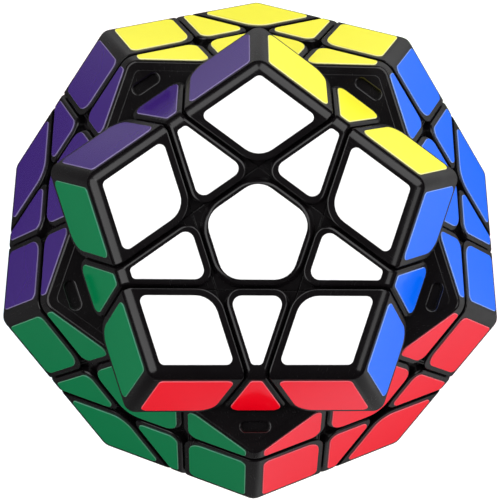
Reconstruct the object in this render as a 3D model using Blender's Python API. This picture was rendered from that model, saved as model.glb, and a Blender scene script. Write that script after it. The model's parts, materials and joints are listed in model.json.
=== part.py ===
"""Dodecahedron twisty puzzle: twelve faces, each a layer of pieces that turns about the face's axis.

The white layer stands 36 degrees on from its neighbours. +Z is the white layer's axis, the gray face
is underneath, and the origin is the centre of the core, which every axis of rotation passes through.
"""

import itertools
import math

import bmesh
import bpy
from mathutils import Matrix, Vector

# Driving dimensions, in metres.
EDGE = 0.035
CUT_INSET = 0.438 * EDGE
GAP = 0.0004
FOOT_GAP = 0.0006
FOOT_RADIUS = 0.0230
FOOT_BOTTOM = 0.0180
FOOT_TOP = 0.0280
FRONT_TURN = math.radians(-36)

SHELF_DEPTH = 0.0014
SHELF_WIDTH = 0.00006
BORDER_CHAMFER = 0.0005
RIDGE_CHAMFER = 0.0015
CENTRE_ROUND = 0.0039
CORNER_ROUND = 0.0034
EDGE_ROUND = 0.0032
RECESS_LENGTH = 0.0054
RECESS_WIDTH = 0.0022
RECESS_DEPTH = 0.0008
RECESS_INSET = 0.00125

BALL_RADIUS = 0.0140
ARM_RADIUS = 0.0026
ARM_TOP = 0.0230
ARM_BORE = 0.0030
FLOOR_BOTTOM = 0.0240
FLOOR_TOP = 0.0255
FLOOR_HOLE = 0.0016
POCKET_RADIUS = 0.0036
POCKET_TOP = 0.0355
SHANK_RADIUS = 0.00125
SHANK_BOTTOM = 0.0150
PILOT_RADIUS = 0.00155
HEAD_RADIUS = 0.0030
HEAD_BOTTOM = 0.0320
HEAD_TOP = 0.0338
WIRE_RADIUS = 0.00035
SPRING_RADIUS = 0.0025
SPRING_TURNS = 4.5

BALL_SUBDIVISIONS = 2
LAYER_SEGMENTS = 36
BORE_SEGMENTS = 12
WIRE_SIDES = 5
COIL_STEPS = 10
CORNER_ANGLE = math.radians(40)
WELD_DISTANCE = 0.000002
FLAT_ANGLE = math.radians(0.2)

# What follows from them.
NEIGHBOUR = math.atan(2)
FACE_HEIGHT = EDGE * math.sqrt(250 + 110 * math.sqrt(5)) / 20
CUT_HEIGHT = FACE_HEIGHT - CUT_INSET * math.sin(NEIGHBOUR)
OUTSIDE = 2 * FACE_HEIGHT

# How nearly two directions agree, as a cosine: the normal of a skin face and its piece's outward
# direction, a normal and the axis of the face it lies in, and the axes of two faces that share an edge.
SKIN_COSINE = 0.65
IN_FACE_COSINE = 0.999
ADJACENT_COSINE = 0.4


def direction(polar, azimuth):
    """The unit vector at these angles, in degrees, from +Z and from +X."""
    polar = math.radians(polar)
    azimuth = math.radians(azimuth)
    across = math.sin(polar)
    return Vector((across * math.cos(azimuth), across * math.sin(azimuth), math.cos(polar)))


UPPER = math.degrees(NEIGHBOUR)
LOWER = 180 - UPPER
AXES = {
    "white": direction(0, 0),
    "yellow": direction(UPPER, 90),
    "blue": direction(UPPER, 18),
    "red": direction(UPPER, 306),
    "green": direction(UPPER, 234),
    "purple": direction(UPPER, 162),
    "beige": direction(LOWER, 270),
    "lightblue": direction(LOWER, 198),
    "orange": direction(LOWER, 126),
    "lime": direction(LOWER, 54),
    "pink": direction(LOWER, 342),
    "gray": direction(180, 0),
}
COLOURS = {
    "white": (0.90, 0.90, 0.90),
    "yellow": (1.00, 0.93, 0.10),
    "blue": (0.05, 0.22, 0.90),
    "red": (0.86, 0.05, 0.08),
    "green": (0.01, 0.23, 0.08),
    "purple": (0.08, 0.04, 0.24),
    "beige": (0.87, 0.78, 0.52),
    "lightblue": (0.26, 0.62, 0.88),
    "orange": (0.96, 0.28, 0.03),
    "lime": (0.30, 0.75, 0.06),
    "pink": (0.93, 0.32, 0.52),
    "gray": (0.25, 0.25, 0.27),
}
LOCKED = ("yellow", "blue", "red", "green", "purple")


def adjacent(first, second):
    return first != second and AXES[first].dot(AXES[second]) > ADJACENT_COSINE


def shared_neighbours(faces):
    """The faces that border every one of these."""
    return [name for name in AXES if all(adjacent(name, face) for face in faces)]


def frame_of(first, second):
    """The rotation that takes +Z to the first vector and +X towards the second."""
    z = first.normalized()
    x = (second - z * second.dot(z)).normalized()
    return Matrix((x, z.cross(x), z)).transposed()


def placing(source, target):
    """The rotation that carries the first two source faces onto the first two target faces."""
    to_target = frame_of(AXES[target[0]], AXES[target[1]])
    return to_target @ frame_of(AXES[source[0]], AXES[source[1]]).transposed()


def material(name, colour, roughness, metallic=0.0):
    made = bpy.data.materials.new(name)
    made.use_nodes = True
    shader = made.node_tree.nodes["Principled BSDF"]
    shader.inputs["Base Color"].default_value = (*colour, 1)
    shader.inputs["Roughness"].default_value = roughness
    shader.inputs["Metallic"].default_value = metallic
    made.diffuse_color = (*colour, 1)
    return made


def new_object(name, mesh):
    made = bpy.data.objects.new(name, mesh)
    bpy.context.scene.collection.objects.link(made)
    return made


def object_from(name, bm):
    """An object that holds this bmesh, with its faces pointing out."""
    bmesh.ops.recalc_face_normals(bm, faces=bm.faces)
    mesh = bpy.data.meshes.new(name)
    bm.to_mesh(mesh)
    bm.free()
    return new_object(name, mesh)


def lathe(name, profile, axis, segments):
    """A solid turned about an axis, from (radius, height) points that start and end on the axis."""
    turn = axis.to_track_quat("Z", "X").to_matrix()
    bm = bmesh.new()
    rings = []
    for radius, height in profile:
        steps = segments if radius > 0 else 1
        angles = [2 * math.pi * (step + 0.5) / segments for step in range(steps)]
        points = [(radius * math.cos(angle), radius * math.sin(angle), height) for angle in angles]
        rings.append([bm.verts.new(turn @ Vector(point)) for point in points])
    for lower, upper in zip(rings, rings[1:]):
        for step in range(segments):
            after = (step + 1) % segments
            corners = [lower[step % len(lower)], lower[after % len(lower)]]
            corners += [upper[after % len(upper)], upper[step % len(upper)]]
            bm.faces.new(dict.fromkeys(corners))
    return object_from(name, bm)


def sliced(planes):
    """The convex solid below every plane, each given as (outward normal, height above the origin)."""
    bm = bmesh.new()
    bmesh.ops.create_cube(bm, size=2 * OUTSIDE)
    for normal, height in planes:
        geometry = bm.verts[:] + bm.edges[:] + bm.faces[:]
        cut = bmesh.ops.bisect_plane(
            bm, geom=geometry, plane_co=normal * height, plane_no=normal, clear_outer=True
        )
        rim = [item for item in cut["geom_cut"] if isinstance(item, bmesh.types.BMEdge)]
        bmesh.ops.edgeloop_fill(bm, edges=rim)
    bmesh.ops.recalc_face_normals(bm, faces=bm.faces)
    return bm


def bevel(bm, edges, width, segments):
    bmesh.ops.bevel(
        bm, geom=edges, offset=width, offset_type="OFFSET", segments=segments, profile=0.5, affect="EDGES"
    )


def cut_block(members, others, height, clearance):
    """The convex block of a piece up to this height, standing this far inside its cuts."""
    planes = [(AXES[face], height) for face in members]
    planes += [(-AXES[face], -(CUT_HEIGHT + clearance)) for face in members]
    planes += [(AXES[face], CUT_HEIGHT - clearance) for face in others]
    return sliced(planes)


def block(members, others, junction_width):
    """The outer block of a piece: a chamfered plateau under its stickers, on a shelf out to the cuts."""
    outward = sum((AXES[face] for face in members), Vector()).normalized()

    def skins(edge):
        return sum(face.normal.dot(outward) > SKIN_COSINE for face in edge.link_faces)

    def reaches_skin(edge):
        rim = {face for vert in edge.verts for face in vert.link_faces}
        return any(face.normal.dot(outward) > SKIN_COSINE for face in rim)

    def chamfer_ridges(bm, width):
        ridges = [edge for edge in bm.edges if skins(edge) == 2]
        if ridges:
            bevel(bm, ridges, width, 1)

    plateau = cut_block(members, others, FACE_HEIGHT, GAP / 2 + SHELF_WIDTH)
    junctions = [edge for edge in plateau.edges if skins(edge) == 0 and reaches_skin(edge)]
    bevel(plateau, junctions, junction_width, 2)
    chamfer_ridges(plateau, RIDGE_CHAMFER)
    border = [edge for edge in plateau.edges if skins(edge) == 1]
    bevel(plateau, border, BORDER_CHAMFER, 1)
    shelf = cut_block(members, others, FACE_HEIGHT - SHELF_DEPTH, GAP / 2)
    chamfer_ridges(shelf, RIDGE_CHAMFER - SHELF_DEPTH / 2)
    return combine(object_from("block", shelf), "UNION", object_from("plateau", plateau))


def layer(face):
    """All that turns with a face, less its clearance: what lies above its cut, and the round foot below."""
    radius = FOOT_RADIUS - FOOT_GAP / 2
    bottom = FOOT_BOTTOM + FOOT_GAP / 2
    cut = CUT_HEIGHT + FOOT_GAP / 2
    foot = [(0, bottom), (radius, bottom), (radius, cut)]
    upper = [(OUTSIDE, cut), (OUTSIDE, OUTSIDE), (0, OUTSIDE)]
    return lathe("layer", foot + upper, AXES[face], LAYER_SEGMENTS)


def socket(face):
    """The room that a neighbouring layer's round foot needs to turn in."""
    radius = (FOOT_RADIUS + FOOT_GAP / 2) / math.cos(math.pi / LAYER_SEGMENTS)
    bottom = FOOT_BOTTOM - FOOT_GAP / 2
    profile = [(0, bottom), (radius, bottom), (radius, FACE_HEIGHT), (0, FACE_HEIGHT)]
    return lathe("socket", profile, AXES[face], LAYER_SEGMENTS)


def combine(target, operation, *tools):
    """Applies Booleans to the target and removes the tools."""
    for tool in tools:
        modifier = target.modifiers.new("combine", "BOOLEAN")
        modifier.operation = operation
        modifier.object = tool
        graph = bpy.context.evaluated_depsgraph_get()
        result = bpy.data.meshes.new_from_object(target.evaluated_get(graph))
        target.modifiers.clear()
        target.data = result
        bpy.data.objects.remove(tool)
    return target


def tidy(target):
    """Welds what the Booleans left almost touching and joins faces that lie in one plane."""
    bm = bmesh.new()
    bm.from_mesh(target.data)
    bmesh.ops.remove_doubles(bm, verts=bm.verts, dist=WELD_DISTANCE)
    bmesh.ops.dissolve_limit(bm, angle_limit=FLAT_ANGLE, verts=bm.verts, edges=bm.edges)
    bm.to_mesh(target.data)
    bm.free()
    return target


def blank(members, others, junction_width):
    """A piece as the cuts leave it: the outer block on a foot that the neighbouring pieces hold down."""
    piece = block(members, others, junction_width)
    planes = [(axis, FOOT_TOP) for axis in AXES.values()]
    planes += [(AXES[face], CUT_HEIGHT - FOOT_GAP / 2) for face in others]
    foot = combine(object_from("foot", sliced(planes)), "INTERSECT", *[layer(face) for face in members])
    return combine(combine(piece, "UNION", foot), "DIFFERENCE", *[socket(face) for face in others])


def recess(members, end):
    """The oblong pocket moulded into the end wall of an edge piece, lying across the wall near its ridge."""
    ridge_way = sum((AXES[face] for face in members), Vector())
    turn = frame_of(AXES[end], ridge_way)
    reach = (FACE_HEIGHT - CUT_HEIGHT * math.cos(NEIGHBOUR)) / math.sin(NEIGHBOUR)
    tip = reach / math.cos(math.radians(36))
    centre = Vector(((reach + tip) / 2 - RECESS_INSET, 0, CUT_HEIGHT))
    radius = RECESS_WIDTH / 2
    straight = RECESS_LENGTH / 2 - radius
    bm = bmesh.new()
    outline = []
    for side in (1, -1):
        for step in (-60, 0, 60):
            angle = math.radians(step)
            outline.append((radius * math.sin(angle) * side, side * (straight + radius * math.cos(angle))))
    base = [bm.verts.new(turn @ (centre + Vector((x, y, -RECESS_DEPTH)))) for x, y in outline]
    top = [bm.verts.new(turn @ (centre + Vector((x, y, RECESS_DEPTH)))) for x, y in outline]
    bm.faces.new(base)
    bm.faces.new(top)
    for here in range(len(outline)):
        bm.faces.new((base[here - 1], base[here], top[here], top[here - 1]))
    return object_from("recess", bm)


def corner_mesh(faces):
    return tidy(blank(faces, [], CORNER_ROUND))


def edge_mesh(faces):
    ends = shared_neighbours(faces)
    piece = blank(faces, ends, EDGE_ROUND)
    return tidy(combine(piece, "DIFFERENCE", *[recess(faces, end) for end in ends]))


def solid_centre(face):
    """A centre before it is bored."""
    return blank([face], shared_neighbours([face]), CENTRE_ROUND)


def centre_mesh(face):
    """A centre: an open bore for the core's arm, and above its floor a pocket for the screw and spring."""
    bore = [
        (0, FOOT_BOTTOM - GAP),
        (ARM_BORE, FOOT_BOTTOM - GAP),
        (ARM_BORE, FLOOR_BOTTOM),
        (FLOOR_HOLE, FLOOR_BOTTOM),
        (FLOOR_HOLE, FLOOR_TOP),
        (POCKET_RADIUS, FLOOR_TOP),
        (POCKET_RADIUS, POCKET_TOP),
        (0, POCKET_TOP),
    ]
    tool = lathe("bore", bore, AXES[face], BORE_SEGMENTS)
    return tidy(combine(solid_centre(face), "DIFFERENCE", tool))


def screw_profile():
    return [
        (0, SHANK_BOTTOM),
        (SHANK_RADIUS, SHANK_BOTTOM),
        (SHANK_RADIUS, HEAD_BOTTOM),
        (HEAD_RADIUS, HEAD_BOTTOM),
        (HEAD_RADIUS, HEAD_TOP),
        (0, HEAD_TOP),
    ]


def make_core():
    """The ball and its twelve arms, with the five centres that the part-turned white layer holds still."""
    bm = bmesh.new()
    bmesh.ops.create_icosphere(bm, subdivisions=BALL_SUBDIVISIONS, radius=BALL_RADIUS)
    core = object_from("core_frame", bm)
    inside = BALL_RADIUS / 2
    for face, axis in AXES.items():
        arm = [(0, inside), (ARM_RADIUS, inside), (ARM_RADIUS, ARM_TOP), (0, ARM_TOP)]
        combine(core, "UNION", lathe("arm", arm, axis, BORE_SEGMENTS))
        if face in LOCKED:
            combine(core, "UNION", solid_centre(face))
        elif face != "white":
            combine(core, "UNION", lathe("post", screw_profile(), axis, BORE_SEGMENTS))
    pilot_bottom = SHANK_BOTTOM - GAP
    pilot = [(0, pilot_bottom), (PILOT_RADIUS, pilot_bottom), (PILOT_RADIUS, OUTSIDE), (0, OUTSIDE)]
    return tidy(combine(core, "DIFFERENCE", lathe("pilot", pilot, AXES["white"], BORE_SEGMENTS)))


def make_spring():
    """The coil between the floor of the white centre and the head of its screw."""
    low = FLOOR_TOP + 2 * WIRE_RADIUS
    high = HEAD_BOTTOM - 2 * WIRE_RADIUS
    count = round(SPRING_TURNS * COIL_STEPS)
    bm = bmesh.new()
    rings = []
    for step in range(count + 1):
        share = step / count
        spin = Matrix.Rotation(2 * math.pi * SPRING_TURNS * share, 3, "Z")
        ring = []
        for side in range(WIRE_SIDES):
            around = 2 * math.pi * side / WIRE_SIDES
            radius = SPRING_RADIUS + WIRE_RADIUS * math.cos(around)
            height = low + (high - low) * share + WIRE_RADIUS * math.sin(around)
            ring.append(bm.verts.new(spin @ Vector((radius, 0, height))))
        rings.append(ring)
    for lower, upper in zip(rings, rings[1:]):
        for side in range(WIRE_SIDES):
            bm.faces.new((lower[side - 1], lower[side], upper[side], upper[side - 1]))
    bm.faces.new(rings[0])
    bm.faces.new(rings[-1])
    return object_from("front_spring", bm)


def paint_outer_faces(mesh, faces):
    """Gives each outer face its own material slot, after slot 0 for the plastic body."""
    for _ in range(len(faces) + 1):
        mesh.materials.append(None)
    for polygon in mesh.polygons:
        polygon.material_index = 0
        for slot, face in enumerate(faces, 1):
            height = polygon.center.dot(AXES[face])
            if polygon.normal.dot(AXES[face]) > IN_FACE_COSINE and height > FACE_HEIGHT - GAP:
                polygon.material_index = slot


def place(name, mesh, source, faces, materials, front_layer):
    """Puts one copy of a canonical piece where these faces meet."""
    piece = new_object(name, mesh)
    piece.matrix_world = placing(source, faces).to_4x4()
    if "white" in faces:
        piece.parent = front_layer
    for slot, look in zip(piece.material_slots, ["plastic", *faces]):
        slot.link = "OBJECT"
        slot.material = materials[look]


def corner_order(faces):
    """These three faces in the order that runs round the corner the same way as the canonical one."""
    first, second, third = faces
    if AXES[first].cross(AXES[second]).dot(AXES[third]) < 0:
        return second, first, third
    return faces


def build():
    for leftover in list(bpy.data.objects):
        bpy.data.objects.remove(leftover)
    materials = {"plastic": material("black_plastic", (0.008, 0.007, 0.008), 0.32)}
    for face, colour in COLOURS.items():
        materials[face] = material(face + "_sticker", colour, 0.28)

    front_layer = new_object("front_layer", None)
    front_layer.rotation_euler.z = FRONT_TURN

    corner = corner_order(("white", "yellow", "blue"))
    edge = ("white", "yellow")
    originals = {corner: corner_mesh(corner), edge: edge_mesh(edge)}
    for faces, original in originals.items():
        paint_outer_faces(original.data, faces)
    for faces in itertools.combinations(AXES, 3):
        if all(adjacent(*pair) for pair in itertools.combinations(faces, 2)):
            name = "_".join(("corner", *faces))
            place(name, originals[corner].data, corner, corner_order(faces), materials, front_layer)
    for faces in itertools.combinations(AXES, 2):
        if adjacent(*faces):
            name = "_".join(("edge", *faces))
            place(name, originals[edge].data, edge, faces, materials, front_layer)

    centre = centre_mesh("white")
    paint_outer_faces(centre.data, ["white"])
    for face in AXES:
        if face not in LOCKED:
            beside = shared_neighbours([face])[0]
            place("centre_" + face, centre.data, edge, (face, beside), materials, front_layer)
    for original in (*originals.values(), centre):
        bpy.data.objects.remove(original)

    core = make_core()
    paint_outer_faces(core.data, LOCKED)
    for slot, look in zip(core.material_slots, ["plastic", *LOCKED]):
        slot.material = materials[look]
    steel = material("screw_steel", (0.55, 0.55, 0.56), 0.35, 1.0)
    screw = lathe("front_screw", screw_profile(), AXES["white"], BORE_SEGMENTS)
    screw.data.materials.append(steel)
    spring = make_spring()
    spring.data.materials.append(material("spring_steel", (0.62, 0.62, 0.63), 0.28, 1.0))
    for piece in (screw, spring):
        piece.data.shade_smooth()
        piece.data.set_sharp_from_angle(angle=CORNER_ANGLE)


build()
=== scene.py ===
import itertools
import json
import math

import bmesh
import bpy
from mathutils import Matrix, Vector


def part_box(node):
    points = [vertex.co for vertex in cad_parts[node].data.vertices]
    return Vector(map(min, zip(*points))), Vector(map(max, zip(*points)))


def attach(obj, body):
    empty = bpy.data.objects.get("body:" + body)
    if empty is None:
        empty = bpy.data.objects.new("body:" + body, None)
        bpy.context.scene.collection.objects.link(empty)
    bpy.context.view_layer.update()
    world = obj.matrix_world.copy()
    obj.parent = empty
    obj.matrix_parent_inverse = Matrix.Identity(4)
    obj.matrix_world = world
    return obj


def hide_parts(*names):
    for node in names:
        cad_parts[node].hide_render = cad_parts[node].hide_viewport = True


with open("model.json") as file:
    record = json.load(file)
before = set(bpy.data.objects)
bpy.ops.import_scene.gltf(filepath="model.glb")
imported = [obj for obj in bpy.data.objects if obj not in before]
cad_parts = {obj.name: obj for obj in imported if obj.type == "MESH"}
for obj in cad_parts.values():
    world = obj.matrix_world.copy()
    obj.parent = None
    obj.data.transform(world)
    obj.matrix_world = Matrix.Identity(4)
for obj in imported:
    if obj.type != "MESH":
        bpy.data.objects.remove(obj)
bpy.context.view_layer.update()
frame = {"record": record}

MM = 0.001

# ---------------------------------------------------------------------------------------------
# Sizes, in metres. The dodecahedron's size comes from the frame, and the rest is as in the CAD.
# ---------------------------------------------------------------------------------------------
FACE_HEIGHT = (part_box("centre_white")[1].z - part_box("centre_gray")[0].z) / 2
EDGE = FACE_HEIGHT / (math.sqrt(250 + 110 * math.sqrt(5)) / 20)
NEIGHBOUR = math.atan(2)
APOTHEM = EDGE / (2 * math.tan(math.radians(36)))
CUT_INSET = 0.438 * EDGE
CUT_HEIGHT = FACE_HEIGHT - CUT_INSET * math.sin(NEIGHBOUR)
CUT_LINE = APOTHEM - CUT_INSET
FRONT_TURN = math.radians(-36)
OUTSIDE = 2 * FACE_HEIGHT

GAP = 0.40 * MM
FOOT_GAP = 0.60 * MM
FOOT_RADIUS = 23.0 * MM
FOOT_BOTTOM = 18.0 * MM
FOOT_TOP = 28.0 * MM

SHELF_DEPTH = 1.4 * MM
SHELF_WIDTH = 0.06 * MM
SHELF_GAP = 0.10 * MM
SHELF_CHAMFER = 0.08 * MM
BORDER_FILLET = 0.40 * MM
RIDGE_FILLET = 1.5 * MM
CENTRE_ROUND = 3.9 * MM
CORNER_ROUND = 3.4 * MM
EDGE_ROUND = 3.2 * MM
RECESS_LENGTH = 5.0 * MM
RECESS_WIDTH = 1.7 * MM
RECESS_DEPTH = 0.8 * MM
RECESS_LIP = 0.36 * MM
RECESS_DRAFT = 0.10 * MM
RECESS_INSET = 1.25 * MM

BALL_RADIUS = 14.0 * MM
ARM_RADIUS = 2.6 * MM
ARM_TOP = 23.0 * MM
ARM_BORE = 3.0 * MM
ARM_COLLAR = 1.0 * MM
COLLAR_BEND = 0.4 * MM
COLLAR_TOP = 1.1 * MM
ARM_CHAMFER = 0.3 * MM
ARM_ROOT_SINK = 0.2 * MM
FLOOR_BOTTOM = 24.0 * MM
FLOOR_TOP = 25.5 * MM
FLOOR_HOLE = 1.6 * MM
POCKET_RADIUS = 3.6 * MM
POCKET_TOP = 35.5 * MM
SHANK_RADIUS = 1.25 * MM
SHANK_BOTTOM = 15.0 * MM
PILOT_RADIUS = 1.55 * MM
HEAD_RADIUS = 3.0 * MM
HEAD_BOTTOM = 32.0 * MM
HEAD_TOP = 33.8 * MM
HEAD_SIDE = 0.8 * MM
HEAD_CHAMFER = 0.15 * MM
DOME_SWEEP = 0.9
NECK_INSET = 0.1 * MM
TIP_INSET = 0.4 * MM
THREAD_PITCH = 0.8 * MM
THREAD_DEPTH = 0.22 * MM
SLOT_LENGTH = 3.4 * MM
SLOT_WIDTH = 0.65 * MM
SLOT_DEPTH = 1.1 * MM
SLOT_TAPER = 0.35
WIRE_RADIUS = 0.35 * MM
SPRING_RADIUS = 2.5 * MM
SPRING_TURNS = 4.5
SPRING_SEAT = 1.3 * WIRE_RADIUS
CLOSED_PITCH = 2.1 * WIRE_RADIUS

STICKER_THICKNESS = 0.20 * MM
STICKER_SINK = 0.03 * MM
STICKER_ROLL = 0.12 * MM
INNER_MARGIN = 0.97 * MM
OUTER_MARGIN = 1.53 * MM
RIDGE_MARGIN = 1.85 * MM
WHITE_TRIM = 0.10 * MM
CENTRE_STICKER_ROUND = 3.8 * MM
EDGE_STICKER_ROUNDS = (0.7 * MM, 1.5 * MM, 1.5 * MM, 0.7 * MM)
CORNER_STICKER_ROUNDS = (1.0 * MM, 1.0 * MM, 4.0 * MM, 1.0 * MM)
SHARPEST_STICKER_CORNER = 0.02 * MM

# How finely the round shapes are divided: counts, and degrees for RECESS_STEP and DOME_STEP.
LAYER_SEGMENTS = 120
ARM_SEGMENTS = 32
BORE_SEGMENTS = 32
PILOT_SEGMENTS = 24
SCREW_SEGMENTS = 32
DOME_STEP = 18
BALL_SUBDIVISIONS = 4
JUNCTION_STEPS = 8
RIDGE_STEPS = 5
BORDER_STEPS = 4
SHELF_STEPS = 2
RECESS_STEP = 20
STICKER_CORNER_STEPS = 6
STICKER_ROLL_STEPS = 3
COIL_STEPS = 28
WIRE_SIDES = 10

# How nearly two directions agree, as a cosine: the normal of a skin face and its piece's outward
# direction, and the axes of two faces that share an edge.
SKIN_COSINE = 0.65
ADJACENT_COSINE = 0.4

# A skin edge that bends by more than this is a ridge, and a smaller bend than FLAT_ANGLE is none.
RIDGE_ANGLE = 0.5
FLAT_ANGLE = math.radians(0.1)
SMOOTH_ANGLE = math.radians(35)
WELD_DISTANCE = 0.002 * MM


def direction(polar, azimuth):
    """The unit vector at these angles, in degrees, from +Z and from +X."""
    polar = math.radians(polar)
    azimuth = math.radians(azimuth)
    across = math.sin(polar)
    return Vector((across * math.cos(azimuth), across * math.sin(azimuth), math.cos(polar)))


UPPER = math.degrees(NEIGHBOUR)
LOWER = 180 - UPPER
AXES = {
    "white": direction(0, 0),
    "yellow": direction(UPPER, 90),
    "blue": direction(UPPER, 18),
    "red": direction(UPPER, 306),
    "green": direction(UPPER, 234),
    "purple": direction(UPPER, 162),
    "beige": direction(LOWER, 270),
    "lightblue": direction(LOWER, 198),
    "orange": direction(LOWER, 126),
    "lime": direction(LOWER, 54),
    "pink": direction(LOWER, 342),
    "gray": direction(180, 0),
}
BODIES = frame["record"]["behaviour"]["bodies"]
BODY_OF = {node: body for body, nodes in BODIES.items() for node in nodes}
ROOT = BODY_OF["core_frame"]


def adjacent(first, second):
    return first != second and AXES[first].dot(AXES[second]) > ADJACENT_COSINE


def shared_neighbours(faces):
    """The faces that border every one of these."""
    return [name for name in AXES if all(adjacent(name, face) for face in faces)]


def frame_of(first, second):
    """The rotation that takes +Z to the first vector and +X towards the second."""
    z = first.normalized()
    x = (second - z * second.dot(z)).normalized()
    return Matrix((x, z.cross(x), z)).transposed()


def placing(source, target):
    """The rotation that carries the first two source faces onto the first two target faces."""
    to_target = frame_of(AXES[target[0]], AXES[target[1]])
    return to_target @ frame_of(AXES[source[0]], AXES[source[1]]).transposed()


def wound(faces):
    """These three faces in the order that runs anticlockwise round their corner, seen from outside."""
    first, second, third = faces
    if AXES[first].cross(AXES[second]).dot(AXES[third]) < 0:
        return second, first, third
    return tuple(faces)


# ---------------------------------------------------------------------------------------------
# Mesh helpers
# ---------------------------------------------------------------------------------------------
def new_object(name, mesh):
    made = bpy.data.objects.new(name, mesh)
    bpy.context.scene.collection.objects.link(made)
    return made


def object_from(name, bm):
    """An object that holds this bmesh, with its faces pointing out."""
    bmesh.ops.recalc_face_normals(bm, faces=bm.faces)
    mesh = bpy.data.meshes.new(name)
    bm.to_mesh(mesh)
    bm.free()
    return new_object(name, mesh)


def lathe(name, profile, axis, segments):
    """A solid turned about an axis, from (radius, height) points that start and end on the axis."""
    turn = axis.to_track_quat("Z", "X").to_matrix()
    bm = bmesh.new()
    rings = []
    for radius, height in profile:
        steps = segments if radius > 0 else 1
        angles = [2 * math.pi * (step + 0.5) / segments for step in range(steps)]
        points = [(radius * math.cos(angle), radius * math.sin(angle), height) for angle in angles]
        rings.append([bm.verts.new(turn @ Vector(point)) for point in points])
    for lower, upper in zip(rings, rings[1:]):
        for step in range(segments):
            after = (step + 1) % segments
            corners = [lower[step % len(lower)], lower[after % len(lower)]]
            corners += [upper[after % len(upper)], upper[step % len(upper)]]
            bm.faces.new(dict.fromkeys(corners))
    return object_from(name, bm)


def sliced(planes):
    """The convex solid below every plane, each given as (outward normal, height above the origin)."""
    bm = bmesh.new()
    bmesh.ops.create_cube(bm, size=2 * OUTSIDE)
    for normal, height in planes:
        geometry = bm.verts[:] + bm.edges[:] + bm.faces[:]
        cut = bmesh.ops.bisect_plane(
            bm, geom=geometry, plane_co=normal * height, plane_no=normal, clear_outer=True
        )
        rim = [item for item in cut["geom_cut"] if isinstance(item, bmesh.types.BMEdge)]
        bmesh.ops.edgeloop_fill(bm, edges=rim)
    bmesh.ops.recalc_face_normals(bm, faces=bm.faces)
    return bm


def bevel(bm, edges, width, segments):
    bmesh.ops.bevel(
        bm, geom=edges, offset=width, offset_type="OFFSET", segments=segments, profile=0.5, affect="EDGES"
    )


def combine(target, operation, *tools):
    """Applies Booleans to the target and removes the tools."""
    for tool in tools:
        modifier = target.modifiers.new("combine", "BOOLEAN")
        modifier.operation = operation
        modifier.object = tool
        graph = bpy.context.evaluated_depsgraph_get()
        result = bpy.data.meshes.new_from_object(target.evaluated_get(graph))
        target.modifiers.clear()
        target.data = result
        bpy.data.objects.remove(tool)
    return target


def tidy(target):
    """Welds what the Booleans left almost touching and joins faces that lie in one plane."""
    bm = bmesh.new()
    bm.from_mesh(target.data)
    bmesh.ops.remove_doubles(bm, verts=bm.verts, dist=WELD_DISTANCE)
    bmesh.ops.dissolve_limit(bm, angle_limit=FLAT_ANGLE, verts=bm.verts, edges=bm.edges)
    bm.to_mesh(target.data)
    bm.free()
    return target


# ---------------------------------------------------------------------------------------------
# The moulded pieces
# ---------------------------------------------------------------------------------------------
def cut_block(members, others, height, clearance):
    """The convex block of a piece up to this height, standing this far inside its cuts."""
    planes = [(AXES[face], height) for face in members]
    planes += [(-AXES[face], -(CUT_HEIGHT + clearance)) for face in members]
    planes += [(AXES[face], CUT_HEIGHT - clearance) for face in others]
    return sliced(planes)


def block(members, others, junction_width):
    """The outer block of a piece: a filleted plateau under its stickers, on a shelf out to the cuts."""
    outward = sum((AXES[face] for face in members), Vector()).normalized()

    def skins(edge):
        return sum(face.normal.dot(outward) > SKIN_COSINE for face in edge.link_faces)

    def reaches_skin(edge):
        rim = {face for vert in edge.verts for face in vert.link_faces}
        return any(face.normal.dot(outward) > SKIN_COSINE for face in rim)

    def is_ridge(edge):
        return skins(edge) == 2 and edge.calc_face_angle() > RIDGE_ANGLE

    def soften(bm, ridge_width, border_width, border_steps):
        ridges = [edge for edge in bm.edges if is_ridge(edge)]
        if ridges:
            bevel(bm, ridges, ridge_width, RIDGE_STEPS)
        bevel(bm, [edge for edge in bm.edges if skins(edge) == 1], border_width, border_steps)

    plateau = cut_block(members, others, FACE_HEIGHT, GAP / 2 + SHELF_WIDTH)
    junctions = [edge for edge in plateau.edges if skins(edge) == 0 and reaches_skin(edge)]
    bevel(plateau, junctions, junction_width, JUNCTION_STEPS)
    soften(plateau, RIDGE_FILLET, BORDER_FILLET, BORDER_STEPS)
    shelf = cut_block(members, others, FACE_HEIGHT - SHELF_DEPTH, SHELF_GAP / 2)
    soften(shelf, RIDGE_FILLET - SHELF_DEPTH / 2, SHELF_CHAMFER, SHELF_STEPS)
    return combine(object_from("block", shelf), "UNION", object_from("plateau", plateau))


def layer(face):
    """All that turns with a face, less its clearance: what lies above its cut, and the round foot below."""
    radius = FOOT_RADIUS - FOOT_GAP / 2
    bottom = FOOT_BOTTOM + FOOT_GAP / 2
    cut = CUT_HEIGHT + FOOT_GAP / 2
    foot = [(0, bottom), (radius, bottom), (radius, cut)]
    upper = [(OUTSIDE, cut), (OUTSIDE, OUTSIDE), (0, OUTSIDE)]
    return lathe("layer", foot + upper, AXES[face], LAYER_SEGMENTS)


def socket(face):
    """The room that a neighbouring layer's round foot needs to turn in."""
    radius = (FOOT_RADIUS + FOOT_GAP / 2) / math.cos(math.pi / LAYER_SEGMENTS)
    bottom = FOOT_BOTTOM - FOOT_GAP / 2
    profile = [(0, bottom), (radius, bottom), (radius, FACE_HEIGHT), (0, FACE_HEIGHT)]
    return lathe("socket", profile, AXES[face], LAYER_SEGMENTS)


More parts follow.
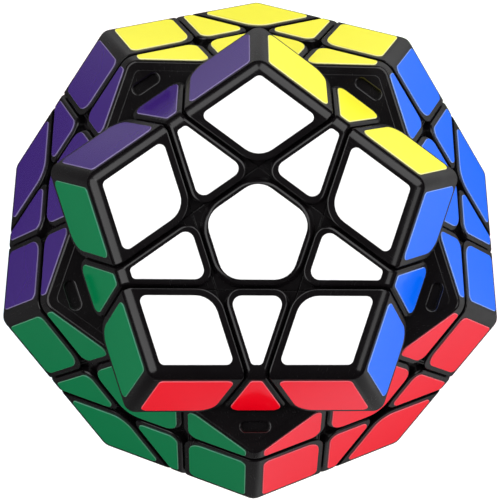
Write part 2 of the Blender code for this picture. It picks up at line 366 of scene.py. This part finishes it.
def blank(members, others, junction_width):
    """A piece as the cuts leave it: the outer block on a foot that the neighbouring pieces hold down."""
    piece = block(members, others, junction_width)
    planes = [(axis, FOOT_TOP) for axis in AXES.values()]
    planes += [(AXES[face], CUT_HEIGHT - FOOT_GAP / 2) for face in others]
    foot = object_from("foot", sliced(planes))
    combine(foot, "INTERSECT", *[layer(face) for face in members])
    combine(piece, "UNION", foot)
    return combine(piece, "DIFFERENCE", *[socket(face) for face in others])


def recess(members, end):
    """The oblong pocket moulded into the end wall of an edge piece, with a rounded lip to its mouth."""
    turn = frame_of(AXES[end], sum((AXES[face] for face in members), Vector()))
    reach = (FACE_HEIGHT - CUT_HEIGHT * math.cos(NEIGHBOUR)) / math.sin(NEIGHBOUR)
    tip = reach / math.cos(math.radians(36))
    middle = (reach + tip) / 2 - RECESS_INSET
    straight = RECESS_LENGTH / 2 - RECESS_WIDTH / 2
    levels = [(-RECESS_DEPTH, -RECESS_DRAFT)]
    for angle in (math.radians(step) for step in range(0, 90, RECESS_STEP)):
        depth = -SHELF_GAP / 2 - RECESS_LIP * (1 - math.sin(angle))
        levels.append((depth, RECESS_LIP * (1 - math.cos(angle))))
    levels.append((RECESS_DEPTH, RECESS_LIP))
    bm = bmesh.new()
    rings = []
    for depth, grow in levels:
        radius = RECESS_WIDTH / 2 + grow
        ring = []
        for side in (1, -1):
            for step in range(RECESS_STEP // 2 - 90, 90, RECESS_STEP):
                angle = math.radians(step)
                x = middle + radius * math.sin(angle) * side
                y = side * (straight + radius * math.cos(angle))
                ring.append(bm.verts.new(turn @ Vector((x, y, CUT_HEIGHT + depth))))
        rings.append(ring)
    for lower, upper in zip(rings, rings[1:]):
        for here in range(len(lower)):
            bm.faces.new((lower[here - 1], lower[here], upper[here], upper[here - 1]))
    bm.faces.new(rings[0])
    bm.faces.new(rings[-1])
    return object_from("recess", bm)


def corner_mesh(faces):
    return tidy(blank(faces, [], CORNER_ROUND))


def edge_mesh(faces):
    ends = shared_neighbours(faces)
    piece = blank(faces, ends, EDGE_ROUND)
    return tidy(combine(piece, "DIFFERENCE", *[recess(faces, end) for end in ends]))


def centre_mesh(face):
    """A centre: an open bore for the core's arm, and above its floor a pocket for the screw and spring."""
    bore = [
        (0, FOOT_BOTTOM - GAP),
        (ARM_BORE, FOOT_BOTTOM - GAP),
        (ARM_BORE, FLOOR_BOTTOM),
        (FLOOR_HOLE, FLOOR_BOTTOM),
        (FLOOR_HOLE, FLOOR_TOP),
        (POCKET_RADIUS, FLOOR_TOP),
        (POCKET_RADIUS, POCKET_TOP),
        (0, POCKET_TOP),
    ]
    piece = blank([face], shared_neighbours([face]), CENTRE_ROUND)
    return tidy(combine(piece, "DIFFERENCE", lathe("bore", bore, AXES[face], BORE_SEGMENTS)))


# ---------------------------------------------------------------------------------------------
# Core, screws and springs
# ---------------------------------------------------------------------------------------------
def core_mesh():
    """The ball with twelve arms, each drilled for its screw and with a small fillet ring at its root."""
    bm = bmesh.new()
    bmesh.ops.create_icosphere(bm, subdivisions=BALL_SUBDIVISIONS, radius=BALL_RADIUS)
    core = object_from("core", bm)
    inside = BALL_RADIUS / 2
    root = BALL_RADIUS - ARM_ROOT_SINK
    arm = [
        (0, inside),
        (ARM_RADIUS + ARM_COLLAR, inside),
        (ARM_RADIUS + ARM_COLLAR, root),
        (ARM_RADIUS + ARM_CHAMFER, root + COLLAR_BEND),
        (ARM_RADIUS, root + COLLAR_TOP),
        (ARM_RADIUS, ARM_TOP - ARM_CHAMFER),
        (ARM_RADIUS - ARM_CHAMFER, ARM_TOP),
        (0, ARM_TOP),
    ]
    for axis in AXES.values():
        combine(core, "UNION", lathe("arm", arm, axis, ARM_SEGMENTS))
    bottom = SHANK_BOTTOM - GAP
    pilot = [(0, bottom), (PILOT_RADIUS, bottom), (PILOT_RADIUS, OUTSIDE), (0, OUTSIDE)]
    for axis in AXES.values():
        combine(core, "DIFFERENCE", lathe("pilot", pilot, axis, PILOT_SEGMENTS))
    return tidy(core)


def screw_mesh():
    """A pan-head screw on +Z with a cross recess and a ridged thread."""
    thread = []
    for turn in range(int((ARM_TOP - SHANK_BOTTOM) / THREAD_PITCH)):
        low = SHANK_BOTTOM + (turn + 0.5) * THREAD_PITCH
        thread += [(SHANK_RADIUS - THREAD_DEPTH, low), (SHANK_RADIUS, low + THREAD_PITCH / 2)]
    neck = SHANK_RADIUS - NECK_INSET
    profile = [(0, SHANK_BOTTOM), (SHANK_RADIUS - TIP_INSET, SHANK_BOTTOM), *thread]
    profile += [(SHANK_RADIUS - THREAD_DEPTH, ARM_TOP), (neck, ARM_TOP + THREAD_PITCH / 2)]
    profile += [(neck, HEAD_BOTTOM), (HEAD_RADIUS - NECK_INSET, HEAD_BOTTOM)]
    profile += [(HEAD_RADIUS, HEAD_BOTTOM + HEAD_CHAMFER), (HEAD_RADIUS, HEAD_BOTTOM + HEAD_SIDE)]
    for degrees in range(DOME_STEP, 91, DOME_STEP):
        angle = math.radians(degrees)
        dome = (HEAD_TOP - HEAD_BOTTOM - HEAD_SIDE) * math.sin(angle)
        profile.append((HEAD_RADIUS * math.cos(angle * DOME_SWEEP), HEAD_BOTTOM + HEAD_SIDE + dome))
    profile.append((0, HEAD_TOP))
    screw = lathe("screw", profile, AXES["white"], SCREW_SEGMENTS)
    for quarter in range(2):
        bm = bmesh.new()
        bmesh.ops.create_cube(bm, size=1)
        for vert in bm.verts:
            taper = 1.0 if vert.co.z > 0 else SLOT_TAPER
            vert.co.x *= SLOT_LENGTH * taper
            vert.co.y *= SLOT_WIDTH
            vert.co.z = HEAD_TOP + vert.co.z * 2 * SLOT_DEPTH
        bmesh.ops.rotate(bm, verts=bm.verts, matrix=Matrix.Rotation(quarter * math.pi / 2, 3, "Z"))
        combine(screw, "DIFFERENCE", object_from("slot", bm))
    return screw


def spring_mesh():
    """A coil on +Z between the centre's floor and the screw's head, its end turns closed up and flat."""
    low = FLOOR_TOP + SPRING_SEAT
    high = HEAD_BOTTOM - SPRING_SEAT
    count = round(SPRING_TURNS * COIL_STEPS)
    closed_turn = 1 / SPRING_TURNS
    rise = CLOSED_PITCH / (high - low)
    bm = bmesh.new()
    rings = []
    for step in range(count + 1):
        share = step / count
        if share < closed_turn:
            climb = rise * share / closed_turn
        elif share > 1 - closed_turn:
            climb = 1 - rise * (1 - share) / closed_turn
        else:
            climb = rise + (1 - 2 * rise) * (share - closed_turn) / (1 - 2 * closed_turn)
        spin = Matrix.Rotation(2 * math.pi * SPRING_TURNS * share, 3, "Z")
        middle = Vector((0, 0, low + (high - low) * climb))
        ring = []
        for side in range(WIRE_SIDES):
            around = 2 * math.pi * side / WIRE_SIDES
            radius = SPRING_RADIUS + WIRE_RADIUS * math.cos(around)
            ring.append(bm.verts.new(middle + spin @ Vector((radius, 0, WIRE_RADIUS * math.sin(around)))))
        rings.append(ring)
    for lower, upper in zip(rings, rings[1:]):
        for side in range(WIRE_SIDES):
            bm.faces.new((lower[side - 1], lower[side], upper[side], upper[side - 1]))
    bm.faces.new(rings[0])
    bm.faces.new(rings[-1])
    return object_from("spring", bm)


# ---------------------------------------------------------------------------------------------
# Stickers
# ---------------------------------------------------------------------------------------------
def outline(lines, radii, inset):
    """Points round a polygon with rounded corners. Each line is (angle, distance) of an outward normal."""
    points = []
    for here in range(len(lines)):
        angle_a, distance_a = lines[here]
        angle_b, distance_b = lines[(here + 1) % len(lines)]
        first = Vector((math.cos(angle_a), math.sin(angle_a)))
        second = Vector((math.cos(angle_b), math.sin(angle_b)))
        radius = max(radii[here] - inset, SHARPEST_STICKER_CORNER)
        rows = Matrix((first, second))
        pulled = Vector((distance_a - inset - radius, distance_b - inset - radius))
        centre = rows.inverted() @ pulled
        sweep = (angle_b - angle_a) % (2 * math.pi)
        for step in range(STICKER_CORNER_STEPS + 1):
            angle = angle_a + sweep * step / STICKER_CORNER_STEPS
            points.append(centre + radius * Vector((math.cos(angle), math.sin(angle))))
    return points


def sticker_mesh(name, lines, radii):
    """A vinyl sticker, its edge rolled over; the rim attribute is 1 along the edge and 0 on the flat."""
    bm = bmesh.new()
    rim = bm.verts.layers.float.new("rim")
    base = FACE_HEIGHT - STICKER_SINK
    top = FACE_HEIGHT + STICKER_THICKNESS
    # How pale the edge is painted: 1 on the cut side wall, falling to 0 over the rolled edge. It stands for
    # the vinyl's pale core and for a painted reflection on the roll.
    levels = [(0, base, 1.0)]
    for step in range(STICKER_ROLL_STEPS + 1):
        angle = math.pi / 2 * step / STICKER_ROLL_STEPS
        inset = STICKER_ROLL * (1 - math.cos(angle))
        levels.append((inset, top - STICKER_ROLL * (1 - math.sin(angle)), math.cos(angle)))
    rings = []
    for inset, height, pale_edge in levels:
        ring = [bm.verts.new((*point, height)) for point in outline(lines, radii, inset)]
        for vert in ring:
            vert[rim] = pale_edge
        rings.append(ring)
    for lower, upper in zip(rings, rings[1:]):
        for here in range(len(lower)):
            bm.faces.new((lower[here - 1], lower[here], upper[here], upper[here - 1]))
    bm.faces.new(rings[0])
    bm.faces.new(rings[-1])
    made = object_from(name, bm)
    mesh = made.data
    bpy.data.objects.remove(made)
    return mesh


def sticker_meshes(trim):
    """The three sticker shapes, each cut smaller by this trim all round."""
    fifth = 2 * math.pi / 5
    ridge = APOTHEM - RIDGE_MARGIN - trim
    inner = CUT_LINE - INNER_MARGIN - trim
    outer = -(CUT_LINE + OUTER_MARGIN + trim)
    centre = [(step * fifth, inner) for step in range(5)]
    edge = [(0, ridge), (fifth, inner), (math.pi, outer), (-fifth, inner)]
    corner = [(0, ridge), (fifth, ridge), (math.pi, outer), (math.pi + fifth, outer)]
    return {
        "centre": sticker_mesh("centre_sticker", centre, [CENTRE_STICKER_ROUND] * 5),
        "edge": sticker_mesh("edge_sticker", edge, EDGE_STICKER_ROUNDS),
        "corner": sticker_mesh("corner_sticker", corner, CORNER_STICKER_ROUNDS),
    }


# ---------------------------------------------------------------------------------------------
# Materials
# ---------------------------------------------------------------------------------------------
class Nodes:
    """A short way to build one material's node tree."""

    def __init__(self, name):
        self.material = bpy.data.materials.new(name)
        self.material.use_nodes = True
        self.tree = self.material.node_tree
        self.shader = self.tree.nodes["Principled BSDF"]

    def add(self, kind, **settings):
        node = self.tree.nodes.new("ShaderNode" + kind)
        for key, value in settings.items():
            if hasattr(node, key):
                setattr(node, key, value)
            else:
                node.inputs[key.replace("_", " ")].default_value = value
        return node

    def link(self, source, target):
        self.tree.links.new(source, target)

    def noise(self, where, scale, detail=3.0, roughness=0.5):
        node = self.add("TexNoise", Scale=scale, Detail=detail, Roughness=roughness)
        self.link(where, node.inputs["Vector"])
        return node.outputs["Fac"]

    def ramp(self, value, low, high, from_low=0.0, from_high=1.0):
        node = self.add("MapRange")
        node.inputs["From Min"].default_value = from_low
        node.inputs["From Max"].default_value = from_high
        node.inputs["To Min"].default_value = low
        node.inputs["To Max"].default_value = high
        self.link(value, node.inputs["Value"])
        return node.outputs["Result"]

    def mix(self, share, first, second):
        node = self.add("Mix", data_type="RGBA")
        self.link(share, node.inputs["Factor"])
        for value, socket_ in ((first, node.inputs[6]), (second, node.inputs[7])):
            if isinstance(value, tuple):
                socket_.default_value = (*value, 1)
            else:
                self.link(value, socket_)
        return node.outputs[2]

    def maths(self, operation, first, second):
        node = self.add("Math", operation=operation)
        for value, socket_ in ((first, node.inputs[0]), (second, node.inputs[1])):
            if isinstance(value, (int, float)):
                socket_.default_value = value
            else:
                self.link(value, socket_)
        return node.outputs[0]

    def place_on_piece(self):
        """Coordinates that ride with the piece and differ from one piece to the next."""
        where = self.add("TexCoord")
        which = self.add("ObjectInfo")
        shift = self.add("VectorMath", operation="MULTIPLY_ADD")
        spread = self.add("CombineXYZ")
        for name, scale in (("X", 3.1), ("Y", 1.7), ("Z", 2.3)):
            self.link(self.maths("MULTIPLY", which.outputs["Random"], scale), spread.inputs[name])
        self.link(spread.outputs[0], shift.inputs[0])
        shift.inputs[1].default_value = (1, 1, 1)
        self.link(where.outputs["Object"], shift.inputs[2])
        return shift.outputs[0]

    def bump(self, height, distance, strength):
        node = self.add("Bump", Strength=strength, Distance=distance)
        self.link(height, node.inputs["Height"])
        return node.outputs[0]


def plastic_material():
    """Black moulded ABS: satin, finely textured, with faint lighter and rougher scuff streaks."""
    n = Nodes("black_abs")
    where = n.place_on_piece()
    cloud = n.noise(where, 160, 4)
    grain = n.noise(where, 5200, 2)
    scuff_place = n.add("Mapping")
    scuff_place.inputs["Scale"].default_value = (1, 14, 3)
    n.link(where, scuff_place.inputs["Vector"])
    scuff = n.ramp(n.noise(scuff_place.outputs[0], 420, 5, 0.65), 0, 1, 0.60, 0.72)
    colour = n.mix(cloud, (0.0028, 0.0021, 0.0026), (0.0048, 0.0038, 0.0045))
    colour = n.mix(n.maths("MULTIPLY", scuff, 0.25), colour, (0.020, 0.018, 0.020))
    n.link(colour, n.shader.inputs["Base Color"])
    rough = n.ramp(cloud, 0.17, 0.25, 0.3, 0.7)
    rough = n.maths("ADD", rough, n.maths("MULTIPLY", scuff, 0.12))
    n.link(rough, n.shader.inputs["Roughness"])
    n.link(n.bump(grain, 0.004 * MM, 0.5), n.shader.inputs["Normal"])
    n.shader.inputs["Specular IOR Level"].default_value = 0.5
    return n.material


def sticker_material(name, colour, rim_colour, gloss):
    """Glossy printed vinyl with a paler cut edge (its pale core, plus a painted reflection on the rolled
    edge), faint unevenness and a few hairline scratches.
    """
    n = Nodes(name + "_vinyl")
    where = n.place_on_piece()
    cloud = n.noise(where, 90, 3)
    waves = n.noise(where, 260, 2)
    hair_place = n.add("Mapping")
    hair_place.inputs["Rotation"].default_value = (0.3, 0.5, 0.9)
    hair_place.inputs["Scale"].default_value = (1, 22, 5)
    n.link(where, hair_place.inputs["Vector"])
    hair = n.ramp(n.noise(hair_place.outputs[0], 300, 4, 0.6), 0, 1, 0.66, 0.74)
    deep = tuple(value * 0.93 for value in colour)
    base = n.mix(cloud, deep, colour)
    # The pale edge colour is partly the vinyl's pale core and partly a painted reflection along the rolled
    # edge.
    rim = n.add("Attribute", attribute_name="rim")
    edge = n.ramp(rim.outputs["Fac"], 0, 0.75)
    base = n.mix(edge, base, rim_colour)
    n.link(base, n.shader.inputs["Base Color"])
    rough = n.ramp(cloud, 0.10, 0.16, 0.3, 0.7)
    rough = n.maths("ADD", rough, n.maths("MULTIPLY", hair, 0.10))
    n.link(rough, n.shader.inputs["Roughness"])
    n.link(n.bump(waves, 0.010 * MM, 0.6), n.shader.inputs["Normal"])
    brightest = max(gloss)
    n.shader.inputs["Specular IOR Level"].default_value = 0.5 * brightest
    n.shader.inputs["Specular Tint"].default_value = (*(value / brightest for value in gloss), 1)
    return n.material


def steel_material(name, colour, roughness):
    """Bright plated steel with fine drawn lines."""
    n = Nodes(name)
    where = n.place_on_piece()
    lines = n.add("Mapping")
    lines.inputs["Scale"].default_value = (1, 1, 30)
    n.link(where, lines.inputs["Vector"])
    streak = n.noise(lines.outputs[0], 500, 4)
    n.link(n.mix(streak, tuple(value * 0.8 for value in colour), colour), n.shader.inputs["Base Color"])
    n.shader.inputs["Metallic"].default_value = 1.0
    n.link(n.ramp(streak, roughness - 0.06, roughness + 0.08), n.shader.inputs["Roughness"])
    n.link(n.bump(streak, 0.004 * MM, 0.5), n.shader.inputs["Normal"])
    return n.material


# Each face's sticker: the colour of its vinyl, the colour of its cut edge (pale core with a painted
# reflection), and the tint of its gloss.
STICKERS = {
    "white": ((0.93, 0.93, 0.93), (0.85, 0.85, 0.85), (1.0, 1.0, 1.0)),
    "yellow": ((1.00, 0.94, 0.045), (1.00, 0.97, 0.55), (1.0, 1.0, 1.0)),
    "blue": ((0.001, 0.128, 0.87), (0.36, 0.52, 0.94), (0.75, 1.05, 1.05)),
    "red": ((0.92, 0.0005, 0.010), (0.88, 0.20, 0.23), (0.95, 1.0, 1.9)),
    "green": ((0.0005, 0.158, 0.051), (0.14, 0.34, 0.23), (0.05, 0.9, 1.0)),
    "purple": ((0.040, 0.013, 0.160), (0.34, 0.29, 0.48), (0.95, 0.8, 1.2)),
    "beige": ((0.88, 0.76, 0.42), (0.92, 0.88, 0.74), (1.0, 1.0, 1.0)),
    "lightblue": ((0.16, 0.58, 0.90), (0.62, 0.80, 0.94), (1.0, 1.0, 1.0)),
    "orange": ((0.98, 0.20, 0.008), (0.98, 0.62, 0.42), (1.0, 1.0, 1.0)),
    "lime": ((0.22, 0.72, 0.015), (0.66, 0.88, 0.48), (1.0, 1.0, 1.0)),
    "pink": ((0.95, 0.22, 0.45), (0.98, 0.66, 0.76), (1.0, 1.0, 1.0)),
    "gray": ((0.18, 0.18, 0.20), (0.55, 0.55, 0.57), (1.0, 1.0, 1.0)),
}


# ---------------------------------------------------------------------------------------------
# Assembly
# ---------------------------------------------------------------------------------------------
def turned_with_front(rotation, faces):
    if "white" in faces:
        return Matrix.Rotation(FRONT_TURN, 3, "Z") @ rotation
    return rotation


def put(name, mesh, rotation, body, material):
    """One piece of the visual model, placed by a rotation about the core and riding on a CAD body."""
    piece = new_object(name, mesh)
    piece.matrix_world = rotation.to_4x4()
    if not mesh.materials:
        mesh.materials.append(None)
        mesh.shade_smooth()
        mesh.set_sharp_from_angle(angle=SMOOTH_ANGLE)
    piece.material_slots[0].link = "OBJECT"
    piece.material_slots[0].material = material
    even = piece.modifiers.new("even_normals", "WEIGHTED_NORMAL")
    even.keep_sharp = True
    even.weight = 100
    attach(piece, body)
    return piece


def taken_mesh(maker, *arguments):
    made = maker(*arguments)
    mesh = made.data
    bpy.data.objects.remove(made)
    return mesh


def stick(kind, face, towards, node, body):
    """The sticker of one face of a piece."""
    rotation = turned_with_front(frame_of(AXES[face], AXES[towards]), node.split("_"))
    name = "sticker_" + face + "_on_" + node
    meshes = WHITE_STICKERS if face == "white" else COLOUR_STICKERS
    put(name, meshes[kind], rotation, body, STICKER_LOOKS[face])


PLASTIC = plastic_material()
STICKER_LOOKS = {face: sticker_material(face, *colours) for face, colours in STICKERS.items()}
COLOUR_STICKERS = sticker_meshes(0)
WHITE_STICKERS = sticker_meshes(WHITE_TRIM)

CORNER = wound(("white", "yellow", "blue"))
SIDE = ("white", "yellow")
corner_shape = taken_mesh(corner_mesh, CORNER)
edge_shape = taken_mesh(edge_mesh, SIDE)
centre_shape = taken_mesh(centre_mesh, "white")

for faces in itertools.combinations(AXES, 3):
    if not all(adjacent(*pair) for pair in itertools.combinations(faces, 2)):
        continue
    node = "_".join(("corner", *faces))
    order = wound(faces)
    rotation = turned_with_front(placing(CORNER, order), faces)
    piece = put("shell_" + node, corner_shape, rotation, BODY_OF[node], PLASTIC)
    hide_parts(node)
    for turn in range(3):
        stick("corner", order[turn], order[(turn + 1) % 3], node, BODY_OF[node])

for faces in itertools.combinations(AXES, 2):
    if not adjacent(*faces):
        continue
    node = "_".join(("edge", *faces))
    rotation = turned_with_front(placing(SIDE, faces), faces)
    piece = put("shell_" + node, edge_shape, rotation, BODY_OF[node], PLASTIC)
    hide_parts(node)
    stick("edge", faces[0], faces[1], node, BODY_OF[node])
    stick("edge", faces[1], faces[0], node, BODY_OF[node])

zinc = steel_material("zinc_plated_steel", (0.62, 0.62, 0.63), 0.30)
wire = steel_material("drawn_spring_wire", (0.66, 0.65, 0.62), 0.24)
screw_shape = taken_mesh(screw_mesh)
spring_shape = taken_mesh(spring_mesh)
for face, axis in AXES.items():
    node = "centre_" + face
    beside = shared_neighbours([face])[0]
    rotation = turned_with_front(placing(SIDE, (face, beside)), [face])
    body = BODY_OF.get(node, ROOT)
    piece = put("shell_" + node, centre_shape, rotation, body, PLASTIC)
    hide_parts(node if node in BODY_OF else "core_frame")
    stick("centre", face, beside, node, body)
    upright = frame_of(axis, AXES[beside])
    screw = put("screw_" + face, screw_shape, upright, ROOT, zinc)
    spring = put("spring_" + face, spring_shape, upright, ROOT, wire)
    if face == "white":
        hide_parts("front_screw")
        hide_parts("front_spring")

core = put("core", taken_mesh(core_mesh), Matrix.Identity(3), ROOT, PLASTIC)
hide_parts("core_frame")


# ---------------------------------------------------------------------------------------------
# Floor, light and camera
# ---------------------------------------------------------------------------------------------
FLOOR_REACH = 3.0
FLOOR_GLOW = 0.25
CONTACT = 1.0 * MM

# The patch of floor that reflections show, by distance from the object's middle. Its colour is painted
# with shade and light: painted shade close round the object, painted light towards LIT_AZIMUTH and
# painted shade away from it. SIDE_EDGE holds the cosines of that angle between which it dims,
# and NARROWING raises them further out.
PATCH_LEVEL = 0.46
PATCH_FADE = (140 * MM, 190 * MM)
SHADE_LEVEL = 0.25
SHADE_FADE = (85 * MM, 130 * MM)
LIT_AZIMUTH = 20
DIM_LEVEL = 0.26
SIDE_EDGE = (-0.60, -0.35)
NARROWING = 0.60
NARROWING_REACH = (110 * MM, 150 * MM)

WALLS = 1.0
WALLS_IN_DIFFUSE_LIGHT = 0.55
WALLS_IN_GLOSS = 0.02

LAMP_DISTANCE = 0.6
LARGE_LAMP = (0.62, 0.62)

CAMERA_PLACE = Vector((-4.25, -14.06, 358.99)) * MM
CAMERA_TURN = Vector((0.03928, -0.15449, 0.00608))
FOCAL_LENGTH = 134.39
SENSOR_WIDTH = 36
LENS_SHIFT = {"shift_x": -0.5459, "shift_y": -0.0118}
SHIFT_WITHIN = 0.45


def make_floor():
    """A wide white floor, clear from underneath so that the base can be looked at and has light.

    Only a patch of it round the object shows in reflections, painted with shade near the object and on one
    side and with light on the other.
    """
    bm = bmesh.new()
    bmesh.ops.create_grid(bm, x_segments=8, y_segments=8, size=FLOOR_REACH)
    bmesh.ops.translate(bm, verts=bm.verts, vec=(0, 0, -(FACE_HEIGHT + STICKER_THICKNESS)))
    floor = object_from("floor", bm)
    if floor.data.polygons[0].normal.z < 0:
        floor.data.flip_normals()
    n = Nodes("pale_floor")
    where = n.add("TexCoord")
    cloud = n.noise(where.outputs["Object"], 6, 2)
    length = n.add("VectorMath", operation="LENGTH")
    n.link(where.outputs["Object"], length.inputs[0])
    distance = length.outputs["Value"]
    # Painted shade and light for reflections: the patch is painted darker close round the object and on the
    # side away from LIT_AZIMUTH.
    outer_fade = n.ramp(distance, PATCH_LEVEL, 0.0, *PATCH_FADE)
    painted_contact_shade = n.ramp(distance, SHADE_LEVEL, 1.0, *SHADE_FADE)
    along = n.add("VectorMath", operation="DOT_PRODUCT")
    n.link(where.outputs["Object"], along.inputs[0])
    along.inputs[1].default_value = direction(90, LIT_AZIMUTH)
    side = n.maths("DIVIDE", along.outputs["Value"], distance)
    narrowing = n.ramp(distance, 0.0, NARROWING, *NARROWING_REACH)
    painted_lit_side = n.ramp(n.maths("SUBTRACT", side, narrowing), DIM_LEVEL, 1.0, *SIDE_EDGE)
    patch = n.maths("MULTIPLY", n.maths("MULTIPLY", outer_fade, painted_contact_shade), painted_lit_side)
    # Glossy rays see the floor darkened to this painted patch; all other rays see it evenly pale.
    path = n.add("LightPath")
    seen = n.maths("SUBTRACT", 1, path.outputs["Is Glossy Ray"])
    share = n.maths("MAXIMUM", seen, patch)
    pale = n.mix(cloud, (0.93, 0.93, 0.93), (0.95, 0.95, 0.95))
    n.link(n.mix(share, (0.0, 0.0, 0.0), pale), n.shader.inputs["Base Color"])
    n.shader.inputs["Emission Color"].default_value = (1, 1, 1, 1)
    glow = n.maths("MULTIPLY", path.outputs["Is Camera Ray"], FLOOR_GLOW)
    n.link(glow, n.shader.inputs["Emission Strength"])
    n.shader.inputs["Roughness"].default_value = 0.7
    n.shader.inputs["Specular IOR Level"].default_value = 0.0
    from_below = n.add("NewGeometry").outputs["Backfacing"]
    at_the_base = n.maths("LESS_THAN", path.outputs["Ray Length"], CONTACT)
    surface = n.add("MixShader")
    n.link(n.maths("MAXIMUM", from_below, at_the_base), surface.inputs[0])
    n.link(n.shader.outputs[0], surface.inputs[1])
    n.link(n.add("BsdfTransparent").outputs[0], surface.inputs[2])
    n.link(surface.outputs[0], n.tree.nodes["Material Output"].inputs["Surface"])
    floor.data.materials.append(n.material)


def softbox(name, size, polar, azimuth, radiance, mirrored=True, lights=True):
    """A square or oblong lamp aimed at the object, which may show only in its gloss or only light it."""
    lamp = bpy.data.lights.new(name, "AREA")
    lamp.shape = "RECTANGLE"
    lamp.size, lamp.size_y = size
    lamp.energy = radiance * math.pi * size[0] * size[1]
    made = new_object(name, lamp)
    made.location = direction(polar, azimuth) * LAMP_DISTANCE
    made.rotation_euler = (-made.location).to_track_quat("-Z", "Y").to_euler()
    made.visible_glossy = mirrored
    made.visible_diffuse = lights


def make_world():
    """White walls that light the object all round but hardly show in its gloss, which the lamps fill."""
    world = bpy.data.worlds.new("studio")
    bpy.context.scene.world = world
    world.use_nodes = True
    tree = world.node_tree
    sky = tree.nodes["Background"]
    sky.inputs["Color"].default_value = (1, 1, 1, 1)
    path = tree.nodes.new("ShaderNodeLightPath")
    level = tree.nodes.new("ShaderNodeMapRange")
    level.inputs["To Min"].default_value = WALLS
    level.inputs["To Max"].default_value = WALLS_IN_GLOSS
    tree.links.new(path.outputs["Is Glossy Ray"], level.inputs["Value"])
    fill = tree.nodes.new("ShaderNodeMath")
    fill.operation = "MULTIPLY_ADD"
    tree.links.new(path.outputs["Is Diffuse Ray"], fill.inputs[0])
    fill.inputs[1].default_value = WALLS_IN_DIFFUSE_LIGHT - WALLS
    tree.links.new(level.outputs["Result"], fill.inputs[2])
    tree.links.new(fill.outputs[0], sky.inputs["Strength"])


def make_lights():
    softbox("left", LARGE_LAMP, 50, 188, 1.9)
    softbox("right", LARGE_LAMP, 50, 48, 1.9)
    softbox("upper_left_gloss", (0.40, 0.44), 46, 126, 1.9, lights=False)
    softbox("lower_right_gloss", (0.22, 0.30), 51, 342, 1.5, lights=False)
    softbox("low_fill", LARGE_LAMP, 62, 332, 1.5, mirrored=False)
    softbox("left_fill", LARGE_LAMP, 70, 180, 0.25, mirrored=False)


def make_camera():
    """The camera looks almost straight down on the white face, and its frame is off the lens axis.

    The shift holds only near its own place, so that a camera moved further out has a plain frame.
    """
    lens = bpy.data.cameras.new("camera")
    camera = new_object("camera", lens)
    camera.location = CAMERA_PLACE
    camera.rotation_mode = "AXIS_ANGLE"
    camera.rotation_axis_angle = (CAMERA_TURN.length, *CAMERA_TURN.normalized())
    lens.sensor_width = SENSOR_WIDTH
    lens.lens = FOCAL_LENGTH
    lens.clip_start = 10 * MM
    for path, shift in LENS_SHIFT.items():
        rule = lens.driver_add(path).driver
        for axis in "xyz":
            variable = rule.variables.new()
            variable.name = axis
            variable.type = "TRANSFORMS"
            variable.targets[0].id = camera
            variable.targets[0].transform_type = "LOC_" + axis.upper()
        rule.expression = f"{shift} if x * x + y * y + z * z < {SHIFT_WITHIN ** 2} else 0"
    bpy.context.scene.camera = camera


make_floor()
make_world()
make_lights()
make_camera()
bpy.context.scene.view_settings.view_transform = "Standard"
